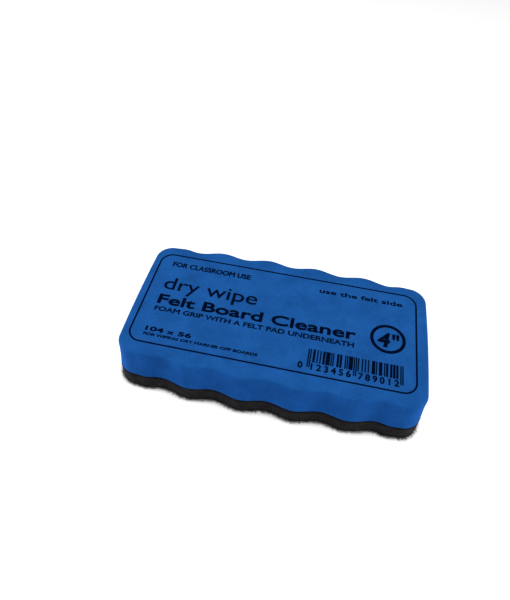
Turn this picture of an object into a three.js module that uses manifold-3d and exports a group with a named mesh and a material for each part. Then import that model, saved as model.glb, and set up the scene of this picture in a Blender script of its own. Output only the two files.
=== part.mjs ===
// A magnetic whiteboard eraser: a die-cut foam grip glued to a felt wiping pad, with two ferrite discs let
// into the underside of the foam. Millimetres, +Z up, +X along the length, z = 0 on the face that wipes.
import * as THREE from "three";
import { mergeVertices } from "three/addons/utils/BufferGeometryUtils.js";
import Module from "manifold-3d";

const wasm = await Module();
wasm.setup();

// Plan shape, shared by the foam's underside, the film and the felt
const LENGTH = 104.4;
const MID_HALF_WIDTH = 27.1; // at the middle of the length, before the wave is added
const SIDE_BOW = 1.3; // how much narrower each side is where its corners start
const WAVE_PITCH = 18.1; // one finger scallop to the next
const WAVE_HEIGHT = 0.8; // half of a scallop's depth
const WAVE_SHIFT = 1.0; // the middle scallop lies this far right of the middle
const WAVE_END = 8; // the wave dies out over this length before each corner
const CORNER_WAVE = 0.2; // share of the wave's height that is left where the corner starts
const CORNER_RADIUS = 6.8;
const END_CROWN = 0.3; // how far the middle of each end stands out

// Layers, from the wiping face up
const FELT_THICKNESS = 6.6;
const FILM_THICKNESS = 0.3;
const FOAM_THICKNESS = 12.2;
const FILM_INSET = 0.6;
const FOAM_LEAN = 0.6; // how far the foam's sides lean in from its foot to its top
const TOP_EDGE_RADIUS = 0.8;

// Ferrite discs, the pockets in the foam that hold them, and the glue between disc and pocket roof
const MAGNET_RADIUS = 9;
const MAGNET_THICKNESS = 3;
const MAGNET_CHAMFER = 0.4;
const MAGNET_X = 24;
const POCKET_CLEARANCE = 0.3;
const GLUE_RADIUS = 6.5;
const GLUE_THICKNESS = 0.4;

// Places worked out from those sizes
const FILM_BASE = FELT_THICKNESS;
const FOAM_BASE = FILM_BASE + FILM_THICKNESS;
const GLUE_BASE = FOAM_BASE + MAGNET_THICKNESS;
const CORNER_X = LENGTH / 2 - END_CROWN - CORNER_RADIUS;

// How finely curves are divided
const STEPS_PER_SIDE = 60;
const STEPS_PER_CORNER = 8;
const STEPS_PER_EDGE_ROUND = 4;
const STEPS_PER_CIRCLE = 48;

function halfWidth(x) {
  const bow = SIDE_BOW * (x / CORNER_X) ** 2;
  const wave = -Math.cos((2 * Math.PI * (x - WAVE_SHIFT)) / WAVE_PITCH);
  const ending = THREE.MathUtils.smoothstep(Math.abs(x), CORNER_X - WAVE_END, CORNER_X);
  return MID_HALF_WIDTH - bow + WAVE_HEIGHT * THREE.MathUtils.lerp(wave, CORNER_WAVE, ending);
}

// One long side with its scallops, from the left corner to the right one.
function scallopedSide(inset) {
  const points = [];
  for (let i = 0; i <= STEPS_PER_SIDE; i += 1) {
    const x = -CORNER_X + (2 * CORNER_X * i) / STEPS_PER_SIDE;
    points.push(new THREE.Vector2(x, halfWidth(x) - inset));
  }
  return points;
}

// The whole outline, anticlockwise from the left end of the near side.
function padOutline(inset = 0) {
  const cornerY = halfWidth(CORNER_X) - CORNER_RADIUS;
  const radius = CORNER_RADIUS - inset;
  const endX = CORNER_X + radius;
  const crownX = endX + 2 * END_CROWN; // a quadratic reaches half way to its control point
  const far = scallopedSide(inset);
  const near = far.map((point) => new THREE.Vector2(point.x, -point.y));
  const shape = new THREE.Shape(near);
  shape.absarc(CORNER_X, -cornerY, radius, -Math.PI / 2, 0);
  shape.quadraticCurveTo(crownX, 0, endX, cornerY);
  shape.absarc(CORNER_X, cornerY, radius, 0, Math.PI / 2);
  far.reverse().forEach((point) => shape.lineTo(point.x, point.y));
  shape.absarc(-CORNER_X, cornerY, radius, Math.PI / 2, Math.PI);
  shape.quadraticCurveTo(-crownX, 0, -endX, -cornerY);
  shape.absarc(-CORNER_X, -cornerY, radius, Math.PI, 1.5 * Math.PI);
  return shape;
}

// A flat sheet of the pad's outline, standing on z = 0.
function sheet(thickness, inset) {
  return new THREE.ExtrudeGeometry(padOutline(inset), {
    depth: thickness,
    curveSegments: STEPS_PER_CORNER,
    bevelEnabled: false,
  });
}

// A sheet with its top and bottom edges rounded, centred on z = 0.
function roundedSheet(thickness, radius) {
  const straight = thickness - 2 * radius;
  return new THREE.ExtrudeGeometry(padOutline(), {
    depth: straight,
    curveSegments: STEPS_PER_CORNER,
    bevelThickness: radius,
    bevelSize: radius,
    bevelOffset: -radius,
    bevelSegments: STEPS_PER_EDGE_ROUND,
  }).translate(0, 0, -straight / 2);
}

// Leans the sides of a sheet in as they rise, by FOAM_LEAN over the foam's thickness.
function leanIn(geometry) {
  const places = geometry.attributes.position;
  for (let i = 0; i < places.count; i += 1) {
    const lean = (FOAM_LEAN * places.getZ(i)) / FOAM_THICKNESS;
    places.setX(i, places.getX(i) * (1 - (2 * lean) / LENGTH));
    places.setY(i, places.getY(i) * (1 - lean / MID_HALF_WIDTH));
  }
  return geometry;
}

// A round disc standing on z = 0, with both of its rims chamfered.
function disc(radius, thickness, chamfer) {
  const profile = [
    new THREE.Vector2(0, 0),
    new THREE.Vector2(radius - chamfer, 0),
    new THREE.Vector2(radius, chamfer),
    new THREE.Vector2(radius, thickness - chamfer),
    new THREE.Vector2(radius - chamfer, thickness),
    new THREE.Vector2(0, thickness),
  ];
  return new THREE.LatheGeometry(profile, STEPS_PER_CIRCLE).rotateX(Math.PI / 2);
}

// A plug with square rims, for cutting a pocket upwards from z = 0 and clear below it.
function pocketCutter(radius, depth, below) {
  const cutter = new THREE.CylinderGeometry(radius, radius, depth + below, STEPS_PER_CIRCLE);
  return cutter.rotateX(Math.PI / 2).translate(0, 0, (depth - below) / 2);
}

function toSolid(geometry) {
  const bare = geometry.clone();
  bare.deleteAttribute("normal");
  bare.deleteAttribute("uv");
  const merged = mergeVertices(bare);
  const vertProperties = new Float32Array(merged.attributes.position.array);
  const triVerts = new Uint32Array(merged.index.array);
  return new wasm.Manifold(new wasm.Mesh({ numProp: 3, vertProperties, triVerts }));
}

function toGeometry(solid) {
  const mesh = solid.getMesh();
  const geometry = new THREE.BufferGeometry();
  geometry.setAttribute("position", new THREE.BufferAttribute(mesh.vertProperties, 3));
  geometry.setIndex(new THREE.BufferAttribute(mesh.triVerts, 1));
  geometry.computeVertexNormals();
  return geometry;
}

// The foam grip: rounded on top, cut square underneath, with a blind pocket for each disc.
function foamBlock() {
  const whole = toSolid(leanIn(roundedSheet(2 * FOAM_THICKNESS, TOP_EDGE_RADIUS)));
  const lowerHalf = new THREE.BoxGeometry(2 * LENGTH, LENGTH, 2 * FOAM_THICKNESS);
  let foam = whole.subtract(toSolid(lowerHalf.translate(0, 0, -FOAM_THICKNESS)));
  const depth = MAGNET_THICKNESS + GLUE_THICKNESS;
  const radius = MAGNET_RADIUS + POCKET_CLEARANCE;
  for (const side of [-1, 1]) {
    const cutter = pocketCutter(radius, depth, FOAM_THICKNESS);
    foam = foam.subtract(toSolid(cutter.translate(side * MAGNET_X, 0, 0)));
  }
  return toGeometry(foam);
}

const foamFinish = new THREE.MeshStandardMaterial({ color: 0x22599a, roughness: 0.85, metalness: 0 });
const feltFinish = new THREE.MeshStandardMaterial({ color: 0x252429, roughness: 1, metalness: 0 });
const filmFinish = new THREE.MeshStandardMaterial({ color: 0x1b2a3c, roughness: 0.5, metalness: 0 });
const ferriteFinish = new THREE.MeshStandardMaterial({ color: 0x2e2f31, roughness: 0.55, metalness: 0.2 });
const glueFinish = new THREE.MeshStandardMaterial({ color: 0xd9d2b4, roughness: 0.35, metalness: 0 });

const eraser = new THREE.Group();

function addPiece(name, geometry, finish, x, z) {
  const piece = new THREE.Mesh(geometry, finish);
  piece.name = name;
  piece.position.set(x, 0, z);
  eraser.add(piece);
}

addPiece("felt_pad", sheet(FELT_THICKNESS, 0), feltFinish, 0, 0);
addPiece("adhesive_film", sheet(FILM_THICKNESS, FILM_INSET), filmFinish, 0, FILM_BASE);
addPiece("foam_block", foamBlock(), foamFinish, 0, FOAM_BASE);
for (const [hand, side] of [["left", -1], ["right", 1]]) {
  const magnet = disc(MAGNET_RADIUS, MAGNET_THICKNESS, MAGNET_CHAMFER);
  const glue = disc(GLUE_RADIUS, GLUE_THICKNESS, GLUE_THICKNESS / 4);
  addPiece(`magnet_${hand}`, magnet, ferriteFinish, side * MAGNET_X, FOAM_BASE);
  addPiece(`magnet_glue_${hand}`, glue, glueFinish, side * MAGNET_X, GLUE_BASE);
}

export default eraser;
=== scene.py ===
"""A magnetic whiteboard eraser: a scalloped EVA foam grip, printed on top, glued to a charcoal felt pad.

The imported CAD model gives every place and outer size. This script adds the looks around it: the die-cut foam,
the needled felt with its loose fibres, the line of glue film between them, the ferrite discs in their pockets
and the ink on the top face. Lengths are in metres, but the artwork's are in millimetres about the printed
panel's middle, and so is any length whose name ends in _mm.
"""

import logging
import math
import random
from collections.abc import Callable, Sequence
from dataclasses import dataclass, field
from enum import Enum

import bmesh
import bpy
from mathutils import Euler, Matrix, Vector, noise

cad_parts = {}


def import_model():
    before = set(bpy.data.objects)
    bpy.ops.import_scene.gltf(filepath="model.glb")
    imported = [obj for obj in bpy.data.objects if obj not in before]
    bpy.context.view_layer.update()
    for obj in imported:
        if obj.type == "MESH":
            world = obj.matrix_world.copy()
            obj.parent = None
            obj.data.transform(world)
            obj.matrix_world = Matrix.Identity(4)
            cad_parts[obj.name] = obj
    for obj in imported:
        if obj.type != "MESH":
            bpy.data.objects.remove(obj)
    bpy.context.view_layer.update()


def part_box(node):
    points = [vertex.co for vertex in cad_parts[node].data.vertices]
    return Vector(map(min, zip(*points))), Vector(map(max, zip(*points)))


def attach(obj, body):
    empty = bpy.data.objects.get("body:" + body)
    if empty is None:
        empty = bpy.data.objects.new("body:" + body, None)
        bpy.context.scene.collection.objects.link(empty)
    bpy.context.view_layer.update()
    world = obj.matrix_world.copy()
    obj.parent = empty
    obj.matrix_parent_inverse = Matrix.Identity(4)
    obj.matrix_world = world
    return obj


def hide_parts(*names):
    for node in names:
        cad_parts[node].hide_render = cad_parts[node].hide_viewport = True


log = logging.getLogger("eraser")

MM = 0.001
BODY = "root"

WELD = 0.002 * MM  # vertices closer than this become one
LETTER_WELD = 0.0001  # the same for lettering, in the font's own units
GLUED_BAND = 0.3 * MM  # no fibre comes loose this close under the glue
FOOT_FUZZ_AND_SHADOW_BAND = 0.9 * MM  # dense fibres crowd the felt's foot up to this height, partly its real fuzz and partly a dark band standing in for the contact shadow: painted shadow
PRINT_OFFSET = (-0.57 * MM, 0.33 * MM)  # the screen lay a little to the left and back when it was printed

Rim = list[bmesh.types.BMEdge]


# ---------------------------------------------------------------- helpers


def linear(hex_colour: str) -> tuple[float, float, float, float]:
    """Turns an sRGB hex colour into the linear colour that a shader socket takes.

    Args:
        hex_colour: six hex digits with a leading hash, such as "#22599A".

    Returns:
        Linear red, green and blue, with an alpha of 1.
    """
    channels = [int(hex_colour[i : i + 2], 16) / 255 for i in (1, 3, 5)]
    decoded = [c / 12.92 if c <= 0.04045 else ((c + 0.055) / 1.055) ** 2.4 for c in channels]
    return (*decoded, 1.0)


def per_metre(feature_mm: float) -> float:
    """Texture scale at which one cell of a pattern on Object coordinates is feature_mm wide."""
    return 1.0 / (feature_mm * MM)


def add_node(
    tree: bpy.types.NodeTree,
    kind: str,
    inputs: dict[str | int, object] | None = None,
    **settings: object,
) -> bpy.types.Node:
    """Adds one shader node with its settings, and fills or links its inputs.

    Args:
        tree: the node tree that gets the node.
        kind: the node's type, without its ShaderNode prefix.
        inputs: a value, or an output socket to link from, for each named or numbered input.
        settings: properties of the node itself.

    Returns:
        The new node.
    """
    node = tree.nodes.new("ShaderNode" + kind)
    for name, value in settings.items():
        setattr(node, name, value)
    for name, value in (inputs or {}).items():
        if isinstance(value, bpy.types.NodeSocket):
            tree.links.new(value, node.inputs[name])
        else:
            node.inputs[name].default_value = value
    return node


def new_material(name: str) -> tuple[bpy.types.Material, bpy.types.NodeTree, bpy.types.NodeSocket]:
    """Starts a node material with nothing in it but its coordinates.

    Args:
        name: the material's name.

    Returns:
        The material, its node tree and the output that gives Object coordinates.
    """
    made = bpy.data.materials.new(name)
    made.use_nodes = True
    made.node_tree.nodes.clear()
    return made, made.node_tree, add_node(made.node_tree, "TexCoord").outputs["Object"]


def set_ramp(ramp: bpy.types.Node, stops: Sequence[tuple[float, str]]) -> None:
    """Gives a colour ramp node its stops.

    Args:
        ramp: a ColorRamp node, which starts with two stops.
        stops: position and sRGB hex colour of each stop, in order.
    """
    elements = ramp.color_ramp.elements
    while len(elements) < len(stops):
        elements.new(1.0)
    for element, (position, colour) in zip(elements, stops):
        element.position = position
        element.color = linear(colour)


def extrude_rim(bm: bmesh.types.BMesh, rim: Rim) -> tuple[set[bmesh.types.BMVert], Rim]:
    """Extrudes a rim where it lies.

    Args:
        bm: the mesh.
        rim: the edges to extrude.

    Returns:
        The new ring's vertices and its edges.
    """
    made = bmesh.ops.extrude_edge_only(bm, edges=rim)["geom"]
    verts = {item for item in made if isinstance(item, bmesh.types.BMVert)}
    edges = [item for item in made if isinstance(item, bmesh.types.BMEdge)]
    return verts, [edge for edge in edges if set(edge.verts) <= verts]


def to_object(name: str, bm: bmesh.types.BMesh, material: bpy.types.Material) -> bpy.types.Object:
    """Turns a finished bmesh into a smooth-shaded object in the scene, at the world's origin.

    Args:
        name: the piece's name.
        bm: the mesh, which is freed.
        material: the one material that it wears.

    Returns:
        The new object.
    """
    mesh = bpy.data.meshes.new(name)
    bm.to_mesh(mesh)
    bm.free()
    mesh.shade_smooth()
    mesh.materials.append(material)
    piece = bpy.data.objects.new(name, mesh)
    bpy.context.scene.collection.objects.link(piece)
    return piece


def dress(piece: bpy.types.Object, slot: str, *replaced: str) -> bpy.types.Object:
    """Lets a piece ride on the eraser, and hides the CAD nodes that it stands for.

    Args:
        piece: the finished piece.
        slot: the record's material slot. It is not used.
        replaced: CAD nodes that the piece is shown instead of.

    Returns:
        The same piece.
    """
    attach(piece, BODY)
    if replaced:
        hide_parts(*replaced)
    log.info("%s: %d vertices", piece.name, len(piece.data.vertices))
    return piece


# ---------------------------------------------------------------- finishes


@dataclass(frozen=True)
class EvaFoam:
    """Cross-linked EVA foam, skived flat on top and die-cut down the sides.

    Closed cells a fraction of a millimetre wide, clumped into a coarser grit, give it a dry and even matt
    surface. Both are drawn as coarse as they need to be to show. The colour is darkened in the grain's low
    pits and lifted a little on its high points, as painted shade and painted light. The blade opens the cells
    on the sides, which carry faint upright drag marks. The sides' colours are a little darker than the top's:
    partly the open cells' own tone, partly painted shade.
    """

    skin_light: str = "#195398"
    skin_dark: str = "#144988"
    # painted shade: the cut sides' colours are darker than the skin's, partly the open cells' own tone and
    # partly shade
    cut_light_shaded: str = "#13509A"
    cut_dark_shaded: str = "#0E478B"
    cell_mm: float = 0.35
    grit_mm: float = 1.1
    drag_mm: float = 0.9
    drag_squash: float = 0.06  # draws the drag marks out upright
    drag_share: float = 0.25  # how much of them the sides show, over the mottle
    grit_share: float = 1.2  # how much grit there is to one part of cells
    mottle_mm: float = 7.0
    roughness: float = 0.9

    def build(self) -> bpy.types.Material:
        """Makes the material. It reads the point attribute cut_face, 0 on the skin and 1 on the cut sides."""
        material, tree, place = new_material("eva_foam_skived_and_die_cut")
        cut = add_node(tree, "Attribute", attribute_name="cut_face").outputs["Fac"]
        mottle = add_node(
            tree, "TexNoise", {"Vector": place, "Scale": per_metre(self.mottle_mm), "Detail": 3.0}
        ).outputs["Fac"]
        cells = add_node(
            tree, "TexVoronoi", {"Vector": place, "Scale": per_metre(self.cell_mm)}, feature="F1"
        ).outputs["Distance"]
        squash = (1.0, 1.0, self.drag_squash)
        upright = add_node(tree, "Mapping", {"Vector": place, "Scale": squash}).outputs[0]
        drag = add_node(
            tree, "TexNoise", {"Vector": upright, "Scale": per_metre(self.drag_mm), "Detail": 4.0}
        ).outputs["Fac"]
        skin = add_node(tree, "ValToRGB", {"Fac": mottle})
        set_ramp(skin, [(0.3, self.skin_dark), (0.7, self.skin_light)])
        streaked = add_node(
            tree, "Math", {0: drag, 1: self.drag_share, 2: mottle}, operation="MULTIPLY_ADD"
        ).outputs[0]
        # the sides' ramp: their own tone with painted shade
        side = add_node(tree, "ValToRGB", {"Fac": streaked})
        set_ramp(side, [(0.45, self.cut_dark_shaded), (0.8, self.cut_light_shaded)])
        tone = add_node(
            tree,
            "Mix",
            {0: cut, 6: skin.outputs["Color"], 7: side.outputs["Color"]},
            data_type="RGBA",
        ).outputs[2]
        grit = add_node(
            tree,
            "TexNoise",
            {"Vector": place, "Scale": per_metre(self.grit_mm), "Detail": 6.0, "Roughness": 0.75},
        ).outputs["Fac"]
        surface = add_node(
            tree, "Math", {0: grit, 1: self.grit_share, 2: cells}, operation="MULTIPLY_ADD"
        ).outputs[0]
        # painted shade and light: the colour darkens where the grain is low, in its pits, and lifts a little
        # where it is high
        painted_pit_shade = add_node(
            tree,
            "MapRange",
            {"Value": surface, "From Min": 0.55, "From Max": 1.35, "To Min": 0.77, "To Max": 1.11},
        ).outputs[0]
        colour = add_node(
            tree, "Mix", {0: 1.0, 6: tone, 7: painted_pit_shade}, data_type="RGBA", blend_type="MULTIPLY"
        ).outputs[2]
        grain = add_node(
            tree, "Bump", {"Height": surface, "Strength": 0.4, "Distance": 0.1 * MM}
        ).outputs[0]
        drag_height = add_node(tree, "Math", {0: drag, 1: cut}, operation="MULTIPLY").outputs[0]
        marks = add_node(
            tree,
            "Bump",
            {"Height": drag_height, "Strength": 0.2, "Distance": 0.05 * MM, "Normal": grain},
        ).outputs[0]
        shader = add_node(
            tree,
            "BsdfPrincipled",
            {
                "Base Color": colour,
                "Roughness": self.roughness,
                "IOR": 1.48,
                "Specular IOR Level": 0.04,
                "Normal": marks,
            },
        )
        add_node(tree, "OutputMaterial", {"Surface": shader.outputs["BSDF"]})
        return material


@dataclass(frozen=True)
class NeedledFelt:
    """Needle-punched polyester felt, dyed charcoal.

    Short crimped fibres lie every way, so it takes light like a soft brush: very dark, with a dusting of
    paler fibres on the surface and no shine. The fibres are drawn as coarse as they need to be to show.
    """

    dark: str = "#120F12"
    mid: str = "#1B191B"
    pale: str = "#2A272A"
    fibre_mm: float = 0.35
    fibre_squash: float = 0.18  # draws the noise out along the fibres
    fibre_turns: Sequence[tuple[float, ...]] = ((0.3, 0.2, 0.5), (1.1, 0.8, 2.0), (0.5, 1.4, 1.2))
    tuft_mm: float = 2.4
    roughness: float = 1.0

    def build(self) -> bpy.types.Material:
        """Makes the material, from crossed sets of stretched noise for fibres and a coarser one for tufts."""
        material, tree, place = new_material("polyester_felt_needle_punched")
        strands = []
        squash = (1.0, self.fibre_squash, 1.0)
        for turn in self.fibre_turns:
            laid = add_node(
                tree, "Mapping", {"Vector": place, "Rotation": turn, "Scale": squash}
            ).outputs[0]
            strand = add_node(
                tree, "TexNoise", {"Vector": laid, "Scale": per_metre(self.fibre_mm), "Detail": 2.0}
            )
            strands.append(strand.outputs["Fac"])
        crossed = add_node(tree, "Math", {0: strands[0], 1: strands[1]}, operation="MAXIMUM").outputs[0]
        mesh = add_node(tree, "Math", {0: crossed, 1: strands[2]}, operation="MAXIMUM").outputs[0]
        tuft = add_node(
            tree, "TexNoise", {"Vector": place, "Scale": per_metre(self.tuft_mm), "Detail": 4.0}
        ).outputs["Fac"]
        both = add_node(tree, "Math", {0: mesh, 1: tuft}, operation="MULTIPLY").outputs[0]
        tone = add_node(tree, "ValToRGB", {"Fac": both})
        set_ramp(tone, [(0.12, self.dark), (0.32, self.mid), (0.5, self.pale)])
        bump = add_node(
            tree, "Bump", {"Height": both, "Strength": 0.9, "Distance": 0.5 * MM}
        ).outputs[0]
        shader = add_node(
            tree,
            "BsdfPrincipled",
            {
                "Base Color": tone.outputs["Color"],
                "Roughness": self.roughness,
                "Specular IOR Level": 0.05,
                "Sheen Weight": 0.02,
                "Sheen Roughness": 0.6,
                "Normal": bump,
            },
        )
        add_node(tree, "OutputMaterial", {"Surface": shader.outputs["BSDF"]})
        return material


@dataclass(frozen=True)
class LooseFibre:
    """Single polyester fibres pulled out of the felt: the same dye, with a slight silky glint."""

    dark: str = "#171518"
    pale: str = "#302D30"
    patch_mm: float = 0.8

    def build(self) -> bpy.types.Material:
        """Makes the material. The tone changes from fibre to fibre through fine noise."""
        material, tree, place = new_material("polyester_fibre_dyed")
        patch = add_node(tree, "TexNoise", {"Vector": place, "Scale": per_metre(self.patch_mm)})
        tone = add_node(tree, "ValToRGB", {"Fac": patch.outputs["Fac"]})
        set_ramp(tone, [(0.35, self.dark), (0.7, self.pale)])
        shader = add_node(
            tree,
            "BsdfPrincipled",
            {"Base Color": tone.outputs["Color"], "Roughness": 0.7, "Specular IOR Level": 0.15},
        )
        add_node(tree, "OutputMaterial", {"Surface": shader.outputs["BSDF"]})
        return material


@dataclass(frozen=True)
class GlueFilm:
    """Hot-melt web glue, pressed thin between foam and felt: stringy and faintly shiny at its edge. Its dark
    navy colour is painted shade for the joint between foam and felt.
    """

    # painted shade: these dark navy colours stand for the shaded joint between foam and felt
    dark: str = "#0C1626"
    pale: str = "#1B2B45"
    string_mm: float = 0.9

    def build(self) -> bpy.types.Material:
        """Makes the material, with lumps where the web's strings have run together."""
        material, tree, place = new_material("hot_melt_web_pressed_painted_joint_shade")
        lumps = add_node(
            tree, "TexNoise", {"Vector": place, "Scale": per_metre(self.string_mm), "Detail": 3.0}
        ).outputs["Fac"]
        tone = add_node(tree, "ValToRGB", {"Fac": lumps})
        set_ramp(tone, [(0.35, self.dark), (0.7, self.pale)])
        bump = add_node(tree, "Bump", {"Height": lumps, "Strength": 0.6, "Distance": 0.1 * MM}).outputs[0]
        shader = add_node(
            tree,
            "BsdfPrincipled",
            {"Base Color": tone.outputs["Color"], "Roughness": 0.5, "IOR": 1.5, "Normal": bump},
        )
        add_node(tree, "OutputMaterial", {"Surface": shader.outputs["BSDF"]})
        return material


@dataclass(frozen=True)
class SinteredFerrite:
    """Strontium ferrite, pressed and sintered, then ground flat: dark grey, dense and dull like slate."""

    dark: str = "#26272A"
    pale: str = "#3C3D41"
    speck_mm: float = 0.25
    groove_mm: float = 0.3
    groove_squash: float = 0.03  # draws the noise out along the grooves

    def build(self) -> bpy.types.Material:
        """Makes the material: powder specks, and fine parallel grooves that the grinding wheel left."""
        material, tree, place = new_material("strontium_ferrite_sintered_ground")
        specks = add_node(
            tree, "TexNoise", {"Vector": place, "Scale": per_metre(self.speck_mm), "Detail": 4.0}
        ).outputs["Fac"]
        squash = (self.groove_squash, 1.0, 1.0)
        stretched = add_node(tree, "Mapping", {"Vector": place, "Scale": squash}).outputs[0]
        grooves = add_node(
            tree, "TexNoise", {"Vector": stretched, "Scale": per_metre(self.groove_mm)}
        ).outputs["Fac"]
        tone = add_node(tree, "ValToRGB", {"Fac": specks})
        set_ramp(tone, [(0.35, self.dark), (0.7, self.pale)])
        bump = add_node(
            tree, "Bump", {"Height": grooves, "Strength": 0.3, "Distance": 0.05 * MM}
        ).outputs[0]
        shader = add_node(
            tree,
            "BsdfPrincipled",
            {"Base Color": tone.outputs["Color"], "Roughness": 0.55, "IOR": 2.0, "Normal": bump},
        )
        add_node(tree, "OutputMaterial", {"Surface": shader.outputs["BSDF"]})
        return material


@dataclass(frozen=True)
class ContactGlue:
    """Rubber contact glue, dried to an amber skin: smooth, a little shiny, with small bubbles."""

    dark: str = "#B39C62"
    pale: str = "#DCCB98"
    bubble_mm: float = 0.8

    def build(self) -> bpy.types.Material:
        """Makes the material, with bubbles as shallow round dimples."""
        material, tree, place = new_material("contact_glue_dried")
        bubbles = add_node(
            tree, "TexVoronoi", {"Vector": place, "Scale": per_metre(self.bubble_mm)}
        ).outputs["Distance"]
        tone = add_node(tree, "ValToRGB", {"Fac": bubbles})
        set_ramp(tone, [(0.1, self.dark), (0.6, self.pale)])
        bump = add_node(
            tree, "Bump", {"Height": bubbles, "Strength": 0.4, "Distance": 0.1 * MM}
        ).outputs[0]
        shader = add_node(
            tree,
            "BsdfPrincipled",
            {"Base Color": tone.outputs["Color"], "Roughness": 0.35, "IOR": 1.5, "Normal": bump},
        )
        add_node(tree, "OutputMaterial", {"Surface": shader.outputs["BSDF"]})
        return material


@dataclass(frozen=True)
class ScreenInk:
    """Solvent ink, screen-printed on foam: near-black and flat, with pinholes where it bridged open cells."""

    ink: str = "#020A20"
    thin_ink: str = "#051434"
    foam: str = "#0F386C"
    pinhole_mm: float = 0.4
    roughness: float = 0.85

    def build(self) -> bpy.types.Material:
        """Makes the material: a solid film, thinner in places, and open at the deepest cells."""
        material, tree, place = new_material("screen_ink_on_foam")
        film = add_node(
            tree, "TexNoise", {"Vector": place, "Scale": per_metre(self.pinhole_mm), "Detail": 3.0}
        ).outputs["Fac"]
        tone = add_node(tree, "ValToRGB", {"Fac": film})
        set_ramp(tone, [(0.3, self.ink), (0.62, self.ink), (0.72, self.thin_ink), (0.82, self.foam)])
        shader = add_node(
            tree,
            "BsdfPrincipled",
            {
                "Base Color": tone.outputs["Color"],
                "Roughness": self.roughness,
                "Specular IOR Level": 0.0,
            },
        )
        add_node(tree, "OutputMaterial", {"Surface": shader.outputs["BSDF"]})
        return material


@dataclass(frozen=True)
class LightTable:
    """Opal acrylic over a lamp: even, dry white that glows a little, so shadows on it stay thin and pale."""

    colour: str = "#F4F4F4"
    glow: float = 0.25
    tooth_mm: float = 1.5

    def build(self) -> bpy.types.Material:
        """Makes the material."""
        material, tree, place = new_material("opal_acrylic_lit")
        tooth = add_node(tree, "TexNoise", {"Vector": place, "Scale": per_metre(self.tooth_mm)})
        bump = add_node(
            tree, "Bump", {"Height": tooth.outputs["Fac"], "Strength": 0.05, "Distance": 0.1 * MM}
        ).outputs[0]
        shader = add_node(
            tree,
            "BsdfPrincipled",
            {
                "Base Color": linear(self.colour),
                "Roughness": 0.9,
                "Specular IOR Level": 0.1,
                "Emission Color": linear(self.colour),
                "Emission Strength": self.glow,
                "Normal": bump,
            },
        )
        add_node(tree, "OutputMaterial", {"Surface": shader.outputs["BSDF"]})
        return material


# ---------------------------------------------------------------- the plan shape


def smooth_step(share: float) -> float:
    """Eases from 0 to 1 as share does, and holds still outside."""
    held = min(max(share, 0.0), 1.0)
    return held * held * (3.0 - 2.0 * held)


@dataclass(frozen=True)
class PadOutline:
    """The cutting die's plan shape: five finger scallops down each long side, and round corners.

    The unit square's u runs along the length and v across, so that a unit grid maps onto the whole shape.

    Attributes:
        half_length: from the middle to the crown of each end.
        mid_half_width: at the middle of the length, before the wave is added.
        side_bow: how much narrower each side is where its corners start.
        wave_pitch: from one scallop to the next.
        wave_height: half of a scallop's depth.
        wave_shift: how far right of the middle the middle scallop lies.
        wave_end: the wave dies out over this length before each corner.
        corner_wave: share of the wave's height that is left where the corner starts.
        corner_radius: radius of each corner.
        end_crown: how far the middle of each end stands out.
        corner_share: share of u that each corner's turn takes.
    """

    half_length: float
    mid_half_width: float = 27.1 * MM
    side_bow: float = 1.3 * MM
    wave_pitch: float = 18.1 * MM
    wave_height: float = 0.8 * MM
    wave_shift: float = 1.0 * MM
    wave_end: float = 8.0 * MM
    corner_wave: float = 0.2
    corner_radius: float = 6.8 * MM
    end_crown: float = 0.3 * MM
    corner_share: float = 0.18

    @property
    def corner_x(self) -> float:
        """Where the corner's turn starts, along the length."""
        return self.half_length - self.end_crown - self.corner_radius

    def half_width(self, x: float) -> float:
        """Half of the width between the scalloped sides, at x along the length."""
        bow = self.side_bow * (x / self.corner_x) ** 2
        wave = -math.cos(math.tau * (x - self.wave_shift) / self.wave_pitch)
        ending = smooth_step((abs(x) - self.corner_x) / self.wave_end + 1.0)
        return self.mid_half_width - bow + self.wave_height * (wave + ending * (self.corner_wave - wave))

    def point(self, u: float, v: float, inset: float = 0.0) -> Vector:
        """Maps a point of the unit square onto the plan.

        Args:
            u: from -1 at the left end to 1 at the right end.
            v: from -1 on the near side to 1 on the far side.
            inset: how far the outline is drawn in. Negative values push it out.

        Returns:
            The point, at z = 0.
        """
        straight = 1.0 - self.corner_share
        if abs(u) <= straight:
            x = self.corner_x * u / straight
            return Vector((x, (self.half_width(x) - inset) * v, 0.0))
        turn = (abs(u) - straight) / self.corner_share * math.pi / 2
        radius = self.corner_radius - inset
        reach = self.half_width(self.corner_x) - self.corner_radius + radius * math.cos(turn)
        x = self.corner_x + (radius + self.end_crown * (1.0 - v * v)) * math.sin(turn)
        return Vector((math.copysign(x, u), reach * v, 0.0))


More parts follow.
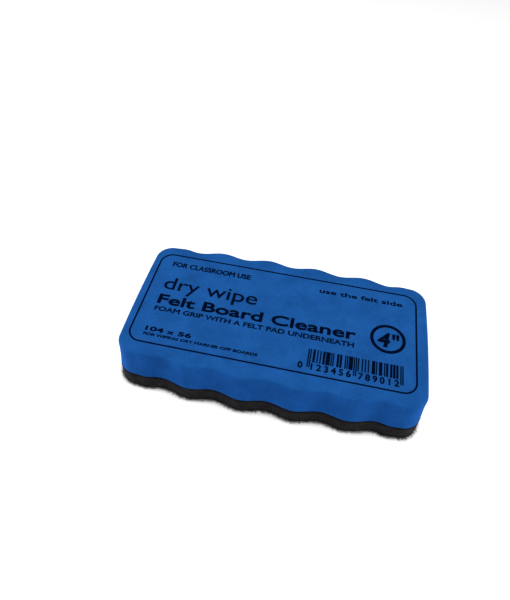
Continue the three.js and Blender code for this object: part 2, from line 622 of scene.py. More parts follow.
@dataclass
class LayerMesh:
    """A layer of the eraser as it is built: a mesh whose vertices remember their place in the unit square.

    Attributes:
        outline: the die's plan shape.
        columns: divisions along the length.
        rows: divisions across.
    """

    outline: PadOutline
    columns: int
    rows: int
    bm: bmesh.types.BMesh = field(default_factory=bmesh.new)

    def __post_init__(self) -> None:
        """Adds the vertex layer that holds (u, v)."""
        self.plan = self.bm.verts.layers.float_vector.new("plan")

    def place(self, vert: bmesh.types.BMVert, inset: float, z: float) -> None:
        """Puts a vertex on the outline drawn in by inset, at height z."""
        u, v, _ = vert[self.plan]
        vert.co = self.outline.point(u, v, inset) + Vector((0.0, 0.0, z))

    def add_face(self, inset: float, height: Callable[[float, float], float]) -> Rim:
        """Adds a whole face of the outline as a grid.

        Args:
            inset: how far its rim is drawn in.
            height: gives z from x and y.

        Returns:
            The edges of its rim.
        """
        verts = bmesh.ops.create_grid(
            self.bm, x_segments=self.columns, y_segments=self.rows, size=1.0
        )["verts"]
        for vert in verts:
            vert[self.plan] = vert.co.copy()
            self.place(vert, inset, 0.0)
            vert.co.z = height(vert.co.x, vert.co.y)
        faces = {face for vert in verts for face in vert.link_faces}
        return [edge for face in faces for edge in face.edges if edge.is_boundary]

    def extrude(self, rim: Rim, inset: Callable[[Vector, float], float], z: float) -> Rim:
        """Extrudes a rim into the next ring of the side wall.

        Args:
            rim: the edges to extrude.
            inset: gives how far each vertex is drawn in, from where it was and its new height.
            z: the height of the new ring.

        Returns:
            The new ring's edges.
        """
        verts, ring = extrude_rim(self.bm, rim)
        for vert in verts:
            self.place(vert, inset(vert.co, z), z)
        return ring

    def extrude_through(
        self, rim: Rim, rings: Sequence[tuple[float, float]], shape: Callable[[Vector, float], float]
    ) -> Rim:
        """Extrudes a rim into a side wall, ring by ring.

        Args:
            rim: the edges to extrude.
            rings: how far in each ring is drawn, and its height.
            shape: gives what each vertex is drawn in besides, from where it was and its new height.

        Returns:
            The last ring's edges.
        """
        for drawn_in, z in rings:
            rim = self.extrude(rim, lambda place, height: drawn_in + shape(place, height), z)
        return rim

    def close(self) -> None:
        """Welds what meets, turns every face outwards and forgets (u, v)."""
        bmesh.ops.remove_doubles(self.bm, verts=self.bm.verts, dist=WELD)
        bmesh.ops.recalc_face_normals(self.bm, faces=self.bm.faces)
        self.bm.verts.layers.float_vector.remove(self.plan)


def quarter_turn(steps: int) -> list[float]:
    """The angles of a quarter turn taken in equal steps, without its start."""
    return [math.pi / 2 * step / steps for step in range(1, steps + 1)]


def ripple(place: Vector, size_mm: float, height: float) -> float:
    """Smooth noise over space.

    Args:
        place: where, in metres.
        size_mm: distance between its bumps.
        height: its greatest height, either way.

    Returns:
        A number between -height and height.
    """
    return height * noise.noise(place * per_metre(size_mm))


# ---------------------------------------------------------------- the pieces


@dataclass(frozen=True)
class Disc:
    """A round piece turned from its half section: a ferrite disc, or the squashed dab of glue above it.

    Attributes:
        name: the piece's name.
        x: its middle, along the length.
        base: its underside.
        top: its upper side.
        radius: its full radius.
        rim: radius to which its two rims are rounded.
        wobble: how far its edge wanders in and out, as a share of its radius.
        wobble_lobes: how quickly the edge wanders.
        wobble_shuffle: how far apart in the noise two discs lie for each metre between them.
    """

    name: str
    x: float
    base: float
    top: float
    radius: float
    rim: float
    wobble: float = 0.0
    wobble_lobes: float = 1.6
    wobble_shuffle: float = 90.0
    steps: int = 72
    rim_steps: int = 3

    def build(self, material: bpy.types.Material) -> bpy.types.Object:
        """Spins the half section round, then lets the rim wander if it is a dab.

        Args:
            material: what it is made of.

        Returns:
            The finished piece.
        """
        bm = bmesh.new()
        section = [(0.0, self.base), (self.radius - self.rim, self.base)]
        for corner, start in ((self.base + self.rim, -90), (self.top - self.rim, 0)):
            for step in range(self.rim_steps + 1):
                turn = math.radians(start + 90 * step / self.rim_steps)
                across = self.radius - self.rim + self.rim * math.cos(turn)
                section.append((across, corner + self.rim * math.sin(turn)))
        section.append((0.0, self.top))
        verts = [bm.verts.new((across, 0.0, z)) for across, z in section]
        edges = [bm.edges.new(pair) for pair in zip(verts, verts[1:])]
        bmesh.ops.spin(
            bm,
            geom=verts + edges,
            cent=(0.0, 0.0, 0.0),
            axis=(0.0, 0.0, 1.0),
            angle=math.tau,
            steps=self.steps,
            use_merge=True,
        )
        bmesh.ops.remove_doubles(bm, verts=bm.verts, dist=WELD)
        bmesh.ops.recalc_face_normals(bm, faces=bm.faces)
        patch = Vector((self.x, 0.0, 0.0)) * self.wobble_shuffle
        for vert in bm.verts:
            outward = Vector((vert.co.x, vert.co.y, 0.0)).normalized()
            grow = 1.0 + self.wobble * noise.noise(outward * self.wobble_lobes + patch)
            vert.co = Vector((vert.co.x * grow + self.x, vert.co.y * grow, vert.co.z))
        return to_object(self.name, bm, material)


@dataclass(frozen=True)
class MagnetSeat:
    """One ferrite disc, the dab of glue above it, and the pocket in the foam that holds them both.

    Attributes:
        name: left or right.
        disc_box: the disc's low and high corners.
        dab_box: the dab's low and high corners.
        clearance: how much wider than the disc the pocket is, all round.
        disc_rim: radius of the disc's two rims.
        dab_rim: radius of the dab's squashed edge.
        dab_wobble: how far that edge wanders in and out, as a share of its radius.
    """

    name: str
    disc_box: tuple[Vector, Vector]
    dab_box: tuple[Vector, Vector]
    clearance: float = 0.3 * MM
    disc_rim: float = 0.4 * MM
    dab_rim: float = 0.18 * MM
    dab_wobble: float = 0.12

    @property
    def x(self) -> float:
        """The seat's middle, along the length."""
        low, high = self.disc_box
        return (low.x + high.x) / 2

    @property
    def disc_radius(self) -> float:
        """Half of the disc's width."""
        low, high = self.disc_box
        return (high.x - low.x) / 2

    def build(self, ferrite: bpy.types.Material, glue: bpy.types.Material) -> None:
        """Makes the disc and its dab, and dresses both.

        Args:
            ferrite: what the disc is made of.
            glue: what the dab is made of.
        """
        low, high = self.disc_box
        disc = Disc(f"ferrite_disc_{self.name}", self.x, low.z, high.z, self.disc_radius, self.disc_rim)
        dress(disc.build(ferrite), "ferrite", f"magnet_{self.name}")
        low, high = self.dab_box
        dab_radius = (high.x - low.x) / 2
        dab = Disc(
            f"glue_dab_{self.name}", self.x, low.z, high.z, dab_radius, self.dab_rim, self.dab_wobble
        )
        dress(dab.build(glue), "glue", f"magnet_glue_{self.name}")


@dataclass(frozen=True)
class FoamGrip:
    """The die-cut foam block: a flat printed top, scalloped sides, and two blind pockets underneath.

    Foam squashes under the blade and springs back after the cut, which leaves the sides leaning in towards
    the top and slightly hollow, and the top edge softly rounded.

    Attributes:
        outline: the die's plan shape.
        base: the foam's underside.
        top: its printed face.
        seats: the two magnets whose pockets it has.
        edge_radius: of the rounded top edge.
        foot_radius: of the small rounding where the sides meet the underside.
        lean: how far the sides lean in, from foot to top.
        hollow: how far they are drawn in half way up.
        ripple_height: how far they ripple, either way.
        ripple_mm: distance between the ripples.
    """

    outline: PadOutline
    base: float
    top: float
    seats: Sequence[MagnetSeat]
    edge_radius: float = 0.8 * MM
    foot_radius: float = 0.35 * MM
    lean: float = 0.6 * MM
    hollow: float = 0.2 * MM
    ripple_height: float = 0.06 * MM
    ripple_mm: float = 6.0
    columns: int = 150
    rows: int = 56
    edge_steps: int = 6
    wall_steps: int = 20
    foot_steps: int = 2
    pocket_steps: int = 64

    def wall_inset(self, place: Vector, z: float) -> float:
        """How far the side wall is drawn in at a height: leaning in, hollow half way up, faintly rippled."""
        share = (z - self.base) / (self.top - self.base)
        hollow = self.hollow + ripple(place, self.ripple_mm, self.ripple_height)
        return self.lean * share + hollow * math.sin(math.pi * share)

    def cut_pockets(self, layer: LayerMesh, rim: Rim) -> None:
        """Closes the underside around the pockets, then sinks them into the foam.

        Args:
            layer: the block so far, open underneath.
            rim: the edges of that opening.
        """
        mouths = []
        for seat in self.seats:
            centre = Matrix.Translation((seat.x, 0.0, self.base))
            radius = seat.disc_radius + seat.clearance
            ring = bmesh.ops.create_circle(
                layer.bm, segments=self.pocket_steps, radius=radius, matrix=centre
            )["verts"]
            mouths.append((seat, list({edge for vert in ring for edge in vert.link_edges})))
        loops = rim + [edge for _, mouth in mouths for edge in mouth]
        bmesh.ops.triangle_fill(layer.bm, use_beauty=True, edges=loops, normal=(0.0, 0.0, -1.0))
        for seat, mouth in mouths:
            verts, roof = extrude_rim(layer.bm, mouth)
            for vert in verts:
                vert.co.z = seat.dab_box[1].z
            bmesh.ops.edgeloop_fill(layer.bm, edges=roof)

    def build(self, material: bpy.types.Material) -> bpy.types.Object:
        """Makes the block from the top face down.

        Args:
            material: the foam.

        Returns:
            The finished piece.
        """
        layer = LayerMesh(self.outline, self.columns, self.rows)
        rim = layer.add_face(self.edge_radius + self.lean, lambda x, y: self.top)
        edge, foot = self.edge_radius, self.foot_radius
        high, low = self.top - edge, self.base + foot
        rings = []
        for turn in quarter_turn(self.edge_steps):
            rings.append((edge * (1.0 - math.sin(turn)), self.top - edge * (1.0 - math.cos(turn))))
        for step in range(1, self.wall_steps + 1):
            rings.append((0.0, high + (low - high) * step / self.wall_steps))
        for turn in quarter_turn(self.foot_steps):
            rings.append((foot * (1.0 - math.cos(turn)), low - foot * math.sin(turn)))
        rim = layer.extrude_through(rim, rings, self.wall_inset)
        self.cut_pockets(layer, rim)
        layer.close()
        self.mark_cut_faces(layer.bm)
        return to_object("foam_grip", layer.bm, material)

    def mark_cut_faces(self, bm: bmesh.types.BMesh) -> None:
        """Writes the attribute cut_face: 0 on the skived top, rising over its round edge to 1 on the sides."""
        cut = bm.verts.layers.float.new("cut_face")
        for vert in bm.verts:
            drop = (self.top - vert.co.z) / self.edge_radius
            vert[cut] = min(max(drop, 0.0), 1.0)


@dataclass(frozen=True)
class FeltPad:
    """The wiping pad: thick needled felt, cut by the same die, with a ragged edge and a softly worn rim.

    Attributes:
        outline: the die's plan shape.
        base: the wiping face.
        top: the face under the glue.
        rim_radius: to which wear has rounded the wiping face's rim.
        shoulder: how far the top is drawn in at the glue.
        tuft: how far the tufts stand out of the cut edge.
        tuft_mm: distance between them.
        fuzz: how far the finer fuzz stands out.
        fuzz_mm: distance between its bumps.
        pressed: share of the fuzz that is left on the wiping face.
    """

    outline: PadOutline
    base: float
    top: float
    rim_radius: float = 0.7 * MM
    shoulder: float = 0.25 * MM
    tuft: float = 0.16 * MM
    tuft_mm: float = 1.6
    fuzz: float = 0.07 * MM
    fuzz_mm: float = 0.55
    pressed: float = 0.5
    columns: int = 300
    rows: int = 120
    rim_steps: int = 4
    wall_steps: int = 9

    def roughness(self, place: Vector, z: float) -> float:
        """How far the cut edge stands in or out at a point: tufts, and finer fuzz over them."""
        there = Vector((place.x, place.y, z))
        return ripple(there, self.tuft_mm, self.tuft) + ripple(there, self.fuzz_mm, self.fuzz)

    def underside(self, x: float, y: float) -> float:
        """Height of the wiping face, pressed flat by use, which rests on its proudest tufts."""
        place = Vector((x, y, 0.0))
        tufts = abs(ripple(place, self.tuft_mm, self.fuzz))
        return self.base + tufts + self.pressed * abs(ripple(place, self.fuzz_mm, self.fuzz))

    def build(self, material: bpy.types.Material) -> bpy.types.Object:
        """Makes the pad from the wiping face up.

        Args:
            material: the felt.

        Returns:
            The finished piece.
        """
        layer = LayerMesh(self.outline, self.columns, self.rows)
        rim = layer.add_face(self.rim_radius, self.underside)
        foot = self.rim_radius
        low, high = self.base + foot, self.top - self.shoulder
        rings = []
        for turn in quarter_turn(self.rim_steps):
            rings.append((foot * (1.0 - math.sin(turn)), self.base + foot * (1.0 - math.cos(turn))))
        for step in range(1, self.wall_steps + 1):
            rings.append((0.0, low + (high - low) * step / self.wall_steps))
        rim = layer.extrude_through(rim, rings, lambda place, z: -self.roughness(place, z))
        rim = layer.extrude(rim, lambda place, z: self.shoulder, self.top)
        bmesh.ops.edgeloop_fill(layer.bm, edges=rim)
        layer.close()
        return to_object("felt_wiping_pad", layer.bm, material)


@dataclass(frozen=True)
class FeltFringe:
    """Loose fibres that stand out of the felt's cut edge.

    Attributes:
        name: the piece's name.
        outline: the die's plan shape.
        base: the wiping face.
        top: the height up to which they are rooted.
        count: how many fibres there are.
        thickness: of one fibre. Real ones are finer still, and this is as coarse as they need to show.
        shortest: length of the shortest fibre.
        longest: length of the longest fibre.
        shortness: the power that makes short fibres commoner than long ones.
        scatter: spread of the angles at which they leave the edge, in radians.
        depth: how far inside the edge they are rooted.
        clearance: height of the lowest roots above the wiping face.
        lowness: the power that crowds the roots towards the wiping face.
        side_share: share of them on the long sides.
        curl: the most that a fibre bends the same way at each joint, in radians.
        kink: the most that it bends up or down at one joint.
        twist: the most that it turns about itself at one joint.
        kinds: how many different fibres are made, then copied.
        sides: of one fibre's section.
        joints: of one fibre.
        seed: starts the random draws.
    """

    name: str
    outline: PadOutline
    base: float
    top: float
    count: int = 5000
    thickness: float = 0.045 * MM
    shortest: float = 0.35 * MM
    longest: float = 1.5 * MM
    shortness: float = 2.5
    scatter: float = 0.75
    depth: float = 0.15 * MM
    clearance: float = 0.1 * MM
    lowness: float = 1.5
    side_share: float = 0.68
    curl: float = 0.5
    kink: float = 0.45
    twist: float = 0.6
    kinds: int = 7
    sides: int = 3
    joints: int = 4
    seed: int = 11

    def strand(self, rng: random.Random) -> bpy.types.Mesh:
        """Makes one crimped fibre, one metre long, that starts at the origin and leaves along +X.

        Args:
            rng: source of its bends.

        Returns:
            Its mesh.
        """
        bm = bmesh.new()
        facing = Matrix.Rotation(math.pi / 2, 4, "Y")
        thin = self.thickness / self.longest
        bmesh.ops.create_circle(bm, cap_ends=True, segments=self.sides, radius=thin / 2, matrix=facing)
        tip = bm.faces[:]
        heading = Matrix.Identity(3)
        end = Vector()
        bend = rng.uniform(-self.curl, self.curl)
        for _ in range(self.joints):
            twist, kink = rng.uniform(-self.twist, self.twist), rng.uniform(-self.kink, self.kink)
            turn = Euler((twist, kink, bend)).to_matrix()
            heading = heading @ turn
            step = heading @ Vector((1.0 / self.joints, 0.0, 0.0))
            tip = bmesh.ops.extrude_discrete_faces(bm, faces=tip)["faces"]
            verts = list({vert for face in tip for vert in face.verts})
            bmesh.ops.rotate(bm, verts=verts, cent=end, matrix=turn)
            bmesh.ops.translate(bm, verts=verts, vec=step)
            end = end + step
        bmesh.ops.recalc_face_normals(bm, faces=bm.faces)
        mesh = bpy.data.meshes.new("strand")
        bm.to_mesh(mesh)
        bm.free()
        return mesh

    def build(self, material: bpy.types.Material) -> bpy.types.Object:
        """Scatters copies of a few strands over the felt's cut edge.

        Args:
            material: the fibre.

        Returns:
            All of them as one piece.
        """
        rng = random.Random(self.seed)
        strands = [self.strand(rng) for _ in range(self.kinds)]
        bm = bmesh.new()
        for _ in range(self.count):
            foot, outward = self.root(rng)
            dip, swing = rng.gauss(0, self.scatter), rng.gauss(0, self.scatter)
            lean = Euler((rng.uniform(0, math.tau), dip, swing))
            length = self.shortest + (self.longest - self.shortest) * rng.random() ** self.shortness
            facing = outward.to_track_quat("X", "Z").to_matrix() @ lean.to_matrix()
            fibre = rng.choice(strands).copy()
            fibre.transform(Matrix.Translation(foot) @ facing.to_4x4() @ Matrix.Scale(length, 4))
            bm.from_mesh(fibre)
            bpy.data.meshes.remove(fibre)
        for vert in bm.verts:
            vert.co.z = max(vert.co.z, self.base + self.thickness / 2)
        for strand in strands:
            bpy.data.meshes.remove(strand)
        return to_object(self.name, bm, material)

    def root(self, rng: random.Random) -> tuple[Vector, Vector]:
        """Picks where a fibre leaves the cut edge.

        Args:
            rng: source of the place.

        Returns:
            Its root, a little inside the felt, and the outward direction there.
        """
        if rng.random() < self.side_share:
            u, v = rng.uniform(-1, 1), rng.choice((-1.0, 1.0))
        else:
            u, v = rng.choice((-1.0, 1.0)), rng.uniform(-1, 1)
        band = self.top - self.base - self.clearance
        z = self.base + self.clearance + band * rng.random() ** self.lowness
        if abs(u) == 1.0:
            outward = Vector((u, 0.0, 0.0))
        else:
            nudge = 0.001  # of the unit square, to either side of the root
            along = self.outline.point(u + nudge, v) - self.outline.point(u - nudge, v)
            outward = Vector((along.y, -along.x, 0.0)).normalized() * (-v)
        foot = self.outline.point(u, v, self.depth) + Vector((0.0, 0.0, z))
        return foot, outward


@dataclass(frozen=True)
class GlueLayer:
    """The pressed glue film between foam and felt, with a rim that wanders in and out.

    Attributes:
        outline: the die's plan shape.
        base: the felt's top.
        top: the foam's underside.
        inset: how far its rim stops short of the outline.
        wander: how far the rim wanders from there, either way.
        wander_mm: distance between its bulges.
    """

    outline: PadOutline
    base: float
    top: float
    inset: float = 0.35 * MM
    wander: float = 0.3 * MM
    wander_mm: float = 3.0
    columns: int = 220
    rows: int = 90

    def rim_inset(self, place: Vector, z: float) -> float:
        """How far the squeezed rim stops short of the outline at a place."""
        return self.inset + ripple(Vector((place.x, place.y, 0.0)), self.wander_mm, self.wander)

    def build(self, material: bpy.types.Material) -> bpy.types.Object:
        """Makes the film as a thin closed sheet with a bulging rim.

        Args:
            material: the glue.

        Returns:
            The finished piece.
        """
        layer = LayerMesh(self.outline, self.columns, self.rows)
        middle = (self.base + self.top) / 2
        bulge = (self.top - self.base) / 2
        rim = layer.add_face(self.inset + self.wander + bulge, lambda x, y: self.base)
        rim = layer.extrude(rim, lambda place, z: self.rim_inset(place, z) + bulge, self.base)
        rim = layer.extrude(rim, self.rim_inset, middle)
        rim = layer.extrude(rim, lambda place, z: self.rim_inset(place, z) + bulge, self.top)
        bmesh.ops.edgeloop_fill(layer.bm, edges=rim)
        layer.close()
        return to_object("glue_film", layer.bm, material)


# ---------------------------------------------------------------- the print


class Weight(Enum):
    """How far the ink spreads past each letter's outline, as a share of the line's height."""

    LIGHT = 0.008
    HEAVY = 0.05
    BLOCK = 0.075


def spread(bm: bmesh.types.BMesh, reach: float) -> None:
    """Moves every outer edge of flat artwork outwards, as ink spreads on foam, and blunts sharp corners.

    Args:
        bm: the artwork, facing up.
        reach: how far the edges move.
    """
    right_angle = 0.5  # squared length of the mean of two sides that meet square
    moves = {}
    for edge in bm.edges:
        if edge.is_boundary:
            loop = edge.link_loops[0]
            along = (loop.link_loop_next.vert.co - loop.vert.co).normalized()
            for vert in edge.verts:
                moves.setdefault(vert, []).append(Vector((along.y, -along.x, 0.0)))
    for vert, sides in moves.items():
        middle = sum(sides, Vector()) / len(sides)
        vert.co += middle * (reach / max(middle.length_squared, right_angle))


@dataclass(frozen=True)
class InkFilm:
    """The printed layer: where it lies, how thick it is and what it is made of.

    Attributes:
        centre: the middle of the printed panel, on the foam's top face.
        material: the ink.
        thickness: of the film. It starts just inside the foam.
        sunk: how much of it is below the foam's face.
    """

    centre: Vector
    material: bpy.types.Material
    thickness: float = 0.04 * MM
    sunk: float = 0.01 * MM

    def finish(self, name: str, bm: bmesh.types.BMesh) -> bpy.types.Object:
        """Thickens flat artwork, drawn in millimetres about the panel's middle, and lays it on the foam.

        Args:
            name: the piece's name.
            bm: the artwork, as faces at z = 0.

        Returns:
            The finished piece.
        """
        made = bmesh.ops.extrude_face_region(bm, geom=bm.faces[:])["geom"]
        raised = [item for item in made if isinstance(item, bmesh.types.BMVert)]
        bmesh.ops.translate(bm, verts=raised, vec=(0.0, 0.0, self.thickness / MM))
        bmesh.ops.scale(bm, verts=bm.verts, vec=(MM, MM, MM))
        low = self.centre - Vector((0.0, 0.0, self.sunk))
        bmesh.ops.translate(bm, verts=bm.verts, vec=low)
        bmesh.ops.recalc_face_normals(bm, faces=bm.faces)
        piece = to_object(name, bm, self.material)
        piece.data.shade_flat()
        return piece


@dataclass(frozen=True)
class PrintedLine:
    """One line of lettering, fitted to its place on the panel.

    Attributes:
        name: the piece's name.
        words: what it says.
        left: where it starts, like the next three in millimetres from the panel's middle.
        right: where it ends.
        low: the foot of its letters.
        high: the top of its letters.
        weight: how far the ink spreads.
        slant: shear of the letters.
        spacing: of the letters, where 1 is the face's own.
    """

    name: str
    words: str
    left: float
    right: float
    low: float
    high: float
    weight: Weight
    slant: float = 0.0
    spacing: float = 1.0

    def build(self, film: InkFilm) -> bpy.types.Object:
        """Sets the words in Blender's own plain face and stretches them to their place.

        Args:
            film: the ink.

        Returns:
            The finished piece.
        """
        font = bpy.data.curves.new(self.name, "FONT")
        font.body = self.words
        font.shear = self.slant
        font.space_character = self.spacing
        font.resolution_u = 5
        setting = bpy.data.objects.new(self.name + "_setting", font)
        bpy.context.scene.collection.objects.link(setting)
        bpy.context.view_layer.update()
        flat = setting.to_mesh()
        bm = bmesh.new()
        bm.from_mesh(flat)
        setting.to_mesh_clear()
        bpy.data.objects.remove(setting)
        bpy.data.curves.remove(font)
        bmesh.ops.remove_doubles(bm, verts=bm.verts, dist=LETTER_WELD)
        reach = self.weight.value * (self.high - self.low)
        xs = [vert.co.x for vert in bm.verts]
        ys = [vert.co.y for vert in bm.verts]
        wide = (self.right - self.left - 2 * reach) / (max(xs) - min(xs))
        tall = (self.high - self.low - 2 * reach) / (max(ys) - min(ys))
        bmesh.ops.translate(bm, verts=bm.verts, vec=(-min(xs), -min(ys), 0.0))
        bmesh.ops.scale(bm, verts=bm.verts, vec=(wide, tall, 1.0))
        bmesh.ops.translate(bm, verts=bm.verts, vec=(self.left + reach, self.low + reach, 0.0))
        spread(bm, reach)
        return film.finish(self.name, bm)


@dataclass(frozen=True)
class PrintedLoop:
    """A closed printed line: the panel's border with its round corners, or the ring round the size.

    Attributes:
        name: the piece's name.
        half_width: from its middle to the middle of the line, in millimetres like the rest.
        half_height: the same, upwards.
        corner: radius of its corners.
        line: width of the line.
        x: its middle, from the panel's middle.
        y: the same, upwards.
        corner_steps: points along each corner.
    """

    name: str
    half_width: float
    half_height: float
    corner: float
    line: float
    x: float = 0.0
    y: float = 0.0
    corner_steps: int = 24

    def at(self, index: int, outset: float) -> Vector:
        """A point of the loop.

        Args:
            index: which point, counting round from the middle of the right-hand end.
            outset: how far outside the line's middle it lies.

        Returns:
            The point, in millimetres.
        """
        corner, step = divmod(index, self.corner_steps)
        turn = math.pi / 2 * (corner + step / (self.corner_steps - 1))
        side_x = 1 if corner in (0, 3) else -1
        side_y = 1 if corner in (0, 1) else -1
        radius = self.corner + outset
        return Vector(
            (
                self.x + side_x * (self.half_width - self.corner) + radius * math.cos(turn),
                self.y + side_y * (self.half_height - self.corner) + radius * math.sin(turn),
                0.0,
            )
        )

    def build(self, film: InkFilm) -> bpy.types.Object:
        """Draws the loop's outer edge from a circle and extrudes it inwards by the width of the line.

        Args:
            film: the ink.

        Returns:
            The finished piece.
        """
        bm = bmesh.new()
        count = 4 * self.corner_steps
        bmesh.ops.create_circle(bm, segments=count, radius=1.0)
        outer = list(bm.edges)
        order = bm.verts.layers.int.new("order")
        ring = sorted(bm.verts, key=lambda vert: math.atan2(vert.co.y, vert.co.x) % math.tau)
        for index, vert in enumerate(ring):
            vert[order] = index
            vert.co = self.at(index, self.line / 2)
        inner, _ = extrude_rim(bm, outer)
        for vert in inner:
            vert.co = self.at(vert[order], -self.line / 2)
        return film.finish(self.name, bm)


@dataclass(frozen=True)
class Barcode:
    """A thirteen-digit retail barcode that holds a counting-up placeholder instead of a real number.

    Attributes:
        left: where its first bar starts, in millimetres from the panel's middle.
        top: the top of its bars.
        low: the foot of its bars.
        guard_low: the foot of its three pairs of guard bars.
        module: the width of its narrowest bar.
        gain: how much wider every bar prints, as the ink spreads.
        digits: the number, whose leading 0 makes every left-hand digit take the odd code.
    """

    left: float
    top: float
    low: float
    guard_low: float
    module: float
    gain: float = 0.1
    digits: str = "0123456789012"

    ODD_CODES = (
        "0001101",
        "0011001",
        "0010011",
        "0111101",
        "0100011",
        "0110001",
        "0101111",
        "0111011",
        "0110111",
        "0001011",
    )

    def pattern(self) -> str:
        """The 95 modules, where 1 is ink and G is ink in a guard bar."""
        odd = [self.ODD_CODES[int(digit)] for digit in self.digits[1:]]
        even = [code.translate(str.maketrans("01", "10")) for code in odd]
        return "G0G" + "".join(odd[:6]) + "0G0G0" + "".join(even[6:]) + "G0G"

    def build(self, film: InkFilm) -> bpy.types.Object:
        """Draws each run of inked modules as one bar.

        Args:
            film: the ink.

        Returns:
            All of the bars as one piece.
        """
        bm = bmesh.new()
        modules = self.pattern()
        start = 0
        while start < len(modules):
            kind = modules[start]
            stop = start
            while stop < len(modules) and modules[stop] == kind:
                stop += 1
            if kind != "0":
                foot = self.guard_low if kind == "G" else self.low
                middle = self.left + self.module * (start + stop) / 2
                wide = self.module * (stop - start) + self.gain
                size = Vector((wide, self.top - foot, 1.0))
                place = Matrix.Translation((middle, (self.top + foot) / 2, 0.0))
                shape = place @ Matrix.Diagonal(size).to_4x4()
                bmesh.ops.create_grid(bm, x_segments=1, y_segments=1, size=0.5, matrix=shape)
            start = stop
        return film.finish("ink_barcode", bm)


@dataclass(frozen=True)
class PrintedPanel:
    """Everything printed on the foam. The words are plain ones that say what the thing is.

    Attributes:
        barcode: the retail barcode.
        digit_gap: between the bars and the digits under them.
        digit_foot: how far the digits reach below the guard bars.
    """

    barcode: Barcode = Barcode(left=12.55, top=-10.8, low=-16.05, guard_low=-18.1, module=0.3285)
    digit_gap: float = 0.35
    digit_foot: float = 0.9

    def build(self, film: InkFilm) -> list[bpy.types.Object]:
        """Prints the border, the lettering, the size in its ring and the barcode.

        Args:
            film: the ink.

        Returns:
            The pieces.
        """
        heavy, block = Weight.HEAVY, Weight.BLOCK
        subtitle = "FOAM GRIP WITH A FELT PAD UNDERNEATH"
        advice = "FOR WIPING DRY MARKER OFF BOARDS"
        parts = [
            PrintedLoop("ink_border", half_width=48.05, half_height=20.8, corner=4.5, line=0.6),
            PrintedLoop(
                "ink_size_ring", half_width=5.5, half_height=5.5, corner=5.499, line=1.15, x=38.4, y=-0.64
            ),
            # Name, words, left, right, low, high and weight
            PrintedLine("ink_size", "4", 34.9, 39.2, -4.35, 2.0, heavy, slant=0.15),
            PrintedLine("ink_inch_mark", '"', 39.8, 42.25, -0.75, 1.75, block),
            PrintedLine("ink_heading", "FOR CLASSROOM USE", -43.1, -13.0, 14.85, 17.3, heavy),
            PrintedLine("ink_note", "use the felt side", 13.0, 43.2, 14.85, 16.95, heavy),
            PrintedLine("ink_use", "dry wipe", -43.1, -8.4, 1.5, 9.2, Weight.LIGHT),
            PrintedLine("ink_title", "Felt Board Cleaner", -43.1, 27.6, -3.75, 0.8, heavy),
            PrintedLine("ink_subtitle", subtitle, -43.0, 27.2, -7.0, -4.9, heavy),
            PrintedLine("ink_measure", "104 x 56", -43.1, -27.0, -16.05, -14.1, block),
            PrintedLine("ink_advice", advice, -43.1, -3.8, -18.0, -16.8, block),
        ]
        pieces = [part.build(film) for part in parts]
        pieces.append(self.barcode.build(film))
        return pieces + [line.build(film) for line in self.numerals()]

    def numerals(self) -> list[PrintedLine]:
        """The digits under the barcode: one before it, and six under each half."""
        code = self.barcode
        low, high = code.guard_low - self.digit_foot, code.low - self.digit_gap
        lines = []
        # Name, first and last digit, where they start and how wide they are in modules, and their spacing
        for name, first, last, start, wide, spacing in (
            ("ink_digit_first", 0, 1, -9, 5, 1.0),
            ("ink_digits_left", 1, 7, 4, 40, 1.5),
            ("ink_digits_right", 7, 13, 51, 40, 1.5),
        ):
            left = code.left + code.module * start
            right = left + code.module * wide
            words = code.digits[first:last]
            lines.append(PrintedLine(name, words, left, right, low, high, Weight.HEAVY, spacing=spacing))
        return lines


# ---------------------------------------------------------------- the studio


@dataclass(frozen=True)
class Softbox:
    """A square lamp with a diffuser, aimed at the middle of the floor.

    Attributes:
        name: the lamp's name.
        place: where it hangs.
        watts: its power.
        size: side of its diffuser.
    """

    name: str
    place: tuple[float, float, float]
    watts: float
    size: float

    def build(self) -> None:
        """Hangs the lamp."""
        light = bpy.data.lights.new(self.name, "AREA")
        light.energy = self.watts
        light.size = self.size
        lamp = bpy.data.objects.new(self.name, light)
        lamp.location = self.place
        lamp.rotation_euler = (-lamp.location).to_track_quat("-Z", "Y").to_euler()
        bpy.context.scene.collection.objects.link(lamp)


@dataclass(frozen=True)
class Studio:
    """A light table in a pale dome, with a softbox at each end of the eraser and one overhead.

    The two at the ends rake along the scalloped sides, which is what makes the scallops show.

    Attributes:
        dome: brightness of the white surroundings.
        softboxes: the lamps.
        floor_size: side of the light table.
    """

    dome: float = 0.48
    softboxes: Sequence[Softbox] = (
        Softbox("softbox_left", (-0.36, -0.02, 0.08), 1.0, 0.12),
        Softbox("softbox_right", (0.36, -0.02, 0.08), 0.85, 0.12),
        Softbox("softbox_overhead", (0.0, 0.02, 0.7), 2.35, 0.12),
    )
    floor_size: float = 6.0

    def build(self) -> None:
        """Lays the floor and sets the lights."""
        bm = bmesh.new()
        bmesh.ops.create_grid(bm, x_segments=4, y_segments=4, size=self.floor_size / 2)
        to_object("light_table", bm, LightTable().build())
        world = bpy.data.worlds.new("pale_dome")
        world.use_nodes = True
        background = world.node_tree.nodes["Background"]
        background.inputs["Color"].default_value = linear("#FFFFFF")
        background.inputs["Strength"].default_value = self.dome
        bpy.context.scene.world = world
        for softbox in self.softboxes:
            softbox.build()


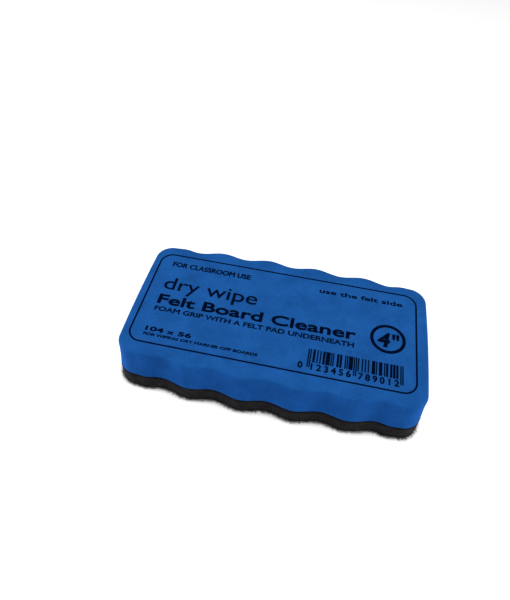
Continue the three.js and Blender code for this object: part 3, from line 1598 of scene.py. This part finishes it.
@dataclass(frozen=True)
class Viewpoint:
    """A hand-held view from in front and above, tipped a little to one side.

    Attributes:
        distance: from the middle of the printed face.
        azimuth: of the camera about that point, in degrees, with 0 straight in front.
        elevation: of the camera above that point.
        heading: where the camera points, turned from straight ahead.
        pitch: how far it points down.
        roll: how far it is tipped, right side up.
        lens_mm: focal length.
        sensor_mm: width of the sensor.
        shift: how far the frame is slid, as shares of its long side.
    """

    distance: float = 186.4 * MM
    azimuth: float = 4.17
    elevation: float = 51.14
    heading: float = 9.29
    pitch: float = 46.22
    roll: float = 3.35
    lens_mm: float = 31.71
    sensor_mm: float = 36.0
    shift: tuple[float, float] = (0.0072, -0.0521)

    def build(self, target: Vector) -> None:
        """Places the camera.

        Args:
            target: the middle of the printed face.
        """
        data = bpy.data.cameras.new("camera")
        data.lens = self.lens_mm
        data.sensor_width = self.sensor_mm
        data.shift_x, data.shift_y = self.shift
        data.clip_start = 0.01
        camera = bpy.data.objects.new("camera", data)
        reach = self.distance * math.cos(math.radians(self.elevation))
        camera.location = target + Vector(
            (
                reach * math.sin(math.radians(self.azimuth)),
                -reach * math.cos(math.radians(self.azimuth)),
                self.distance * math.sin(math.radians(self.elevation)),
            )
        )
        level = Matrix.Rotation(math.radians(self.heading), 4, "Z")
        down = Matrix.Rotation(math.radians(90.0 - self.pitch), 4, "X")
        tipped = Matrix.Rotation(math.radians(self.roll), 4, "Z")
        camera.rotation_euler = (level @ down @ tipped).to_euler()
        bpy.context.scene.collection.objects.link(camera)
        bpy.context.scene.camera = camera


# ---------------------------------------------------------------- assembly


def main() -> None:
    """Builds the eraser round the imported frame, then the studio."""
    logging.basicConfig(level=logging.INFO, format="%(name)s: %(message)s")
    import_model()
    foam_low, foam_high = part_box("foam_block")
    felt_low, felt_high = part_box("felt_pad")
    outline = PadOutline(half_length=foam_high.x)

    ferrite, glue = SinteredFerrite().build(), ContactGlue().build()
    hands = ("left", "right")
    seats = [MagnetSeat(hand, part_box(f"magnet_{hand}"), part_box(f"magnet_glue_{hand}")) for hand in hands]
    for seat in seats:
        seat.build(ferrite, glue)

    foam = FoamGrip(outline, foam_low.z, foam_high.z, seats).build(EvaFoam().build())
    dress(foam, "foam", "foam_block")
    felt = FeltPad(outline, felt_low.z, felt_high.z).build(NeedledFelt().build())
    dress(felt, "felt", "felt_pad")
    fibre = LooseFibre().build()
    cut_edge = FeltFringe("felt_loose_fibres", outline, felt_low.z, felt_high.z - GLUED_BAND)
    dress(cut_edge.build(fibre), "felt")
    # painted shadow: thousands of dark fibres lying on the floor at the felt's foot, partly real fuzz and
    # partly standing in for the contact shadow
    foot_fuzz_and_shadow = FeltFringe(
        "felt_foot_fuzz_and_painted_shadow",
        outline,
        felt_low.z,
        felt_low.z + FOOT_FUZZ_AND_SHADOW_BAND,
        count=12000,
        thickness=0.065 * MM,
        shortest=0.6 * MM,
        longest=1.4 * MM,
        scatter=0.6,
        joints=2,
    )
    dress(foot_fuzz_and_shadow.build(fibre), "felt")
    film = GlueLayer(outline, felt_high.z, foam_low.z).build(GlueFilm().build())
    dress(film, "adhesive_film", "adhesive_film")

    printed_middle = Vector((*PRINT_OFFSET, foam_high.z))
    ink = InkFilm(printed_middle, ScreenInk().build())
    for piece in PrintedPanel().build(ink):
        dress(piece, "ink")

    Studio().build()
    Viewpoint().build(printed_middle)
    bpy.context.scene.view_settings.view_transform = "Standard"


if __name__ == "__main__":
    main()
